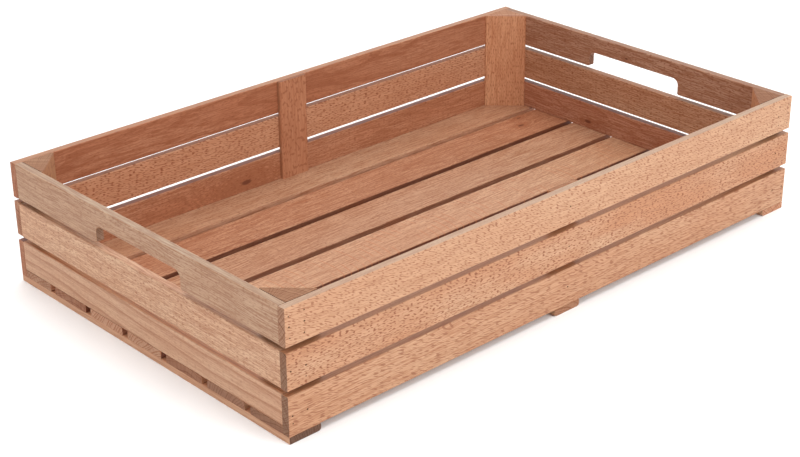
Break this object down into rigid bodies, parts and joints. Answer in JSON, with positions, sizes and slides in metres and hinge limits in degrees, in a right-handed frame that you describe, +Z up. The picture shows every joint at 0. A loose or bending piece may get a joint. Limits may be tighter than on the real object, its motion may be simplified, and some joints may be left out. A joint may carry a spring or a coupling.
{
  "type": "wooden apple crate",
  "caption": "Low open slatted crate of planed beech on cross skids, with triangular corner posts, middle battens and a hand grip in the top board of each end.",
  "frame": {"origin": "under the middle of the crate, on the surface that its skids stand on", "axes": "+X along the long sides, from the left end to the right end; +Y from the front side to the back side; +Z up"},
  "size_m": [0.6, 0.365, 0.1125],
  "materials": {
    "side_board": "planed, unfinished beech",
    "end_board": "planed, unfinished beech",
    "floor_slat": "planed, unfinished beech",
    "skid": "planed, unfinished beech",
    "corner_post": "sawn and planed, unfinished beech",
    "batten": "planed, unfinished beech",
    "brad": "dull drawn steel"
  },
  "bodies": {
    "root": {"front_bottom_board": "side_board", "front_middle_board": "side_board", "front_top_board": "side_board", "back_bottom_board": "side_board", "back_middle_board": "side_board", "back_top_board": "side_board", "left_end_bottom_board": "end_board", "left_end_middle_board": "end_board", "left_end_top_board": "end_board", "right_end_bottom_board": "end_board", "right_end_middle_board": "end_board", "right_end_top_board": "end_board", "floor_slat_1": "floor_slat", "floor_slat_2": "floor_slat", "floor_slat_3": "floor_slat", "floor_slat_4": "floor_slat", "floor_slat_5": "floor_slat", "floor_slat_6": "floor_slat", "floor_slat_7": "floor_slat", "left_skid": "skid", "middle_skid": "skid", "right_skid": "skid", "front_left_corner_post": "corner_post", "front_right_corner_post": "corner_post", "back_left_corner_post": "corner_post", "back_right_corner_post": "corner_post", "front_middle_batten": "batten", "back_middle_batten": "batten", "front_bottom_left_end_brad": "brad", "front_bottom_left_post_brad": "brad", "front_bottom_right_end_brad": "brad", "front_bottom_right_post_brad": "brad", "front_bottom_batten_brad": "brad", "front_middle_left_end_brad": "brad", "front_middle_left_post_brad": "brad", "front_middle_right_end_brad": "brad", "front_middle_right_post_brad": "brad", "front_middle_batten_brad": "brad", "front_top_left_end_brad": "brad", "front_top_left_post_brad": "brad", "front_top_right_end_brad": "brad", "front_top_right_post_brad": "brad", "front_top_batten_brad": "brad", "back_bottom_left_end_brad": "brad", "back_bottom_left_post_brad": "brad", "back_bottom_right_end_brad": "brad", "back_bottom_right_post_brad": "brad", "back_bottom_batten_brad": "brad", "back_middle_left_end_brad": "brad", "back_middle_left_post_brad": "brad", "back_middle_right_end_brad": "brad", "back_middle_right_post_brad": "brad", "back_middle_batten_brad": "brad", "back_top_left_end_brad": "brad", "back_top_left_post_brad": "brad", "back_top_right_end_brad": "brad", "back_top_right_post_brad": "brad", "back_top_batten_brad": "brad"}
  },
  "joints": []
}
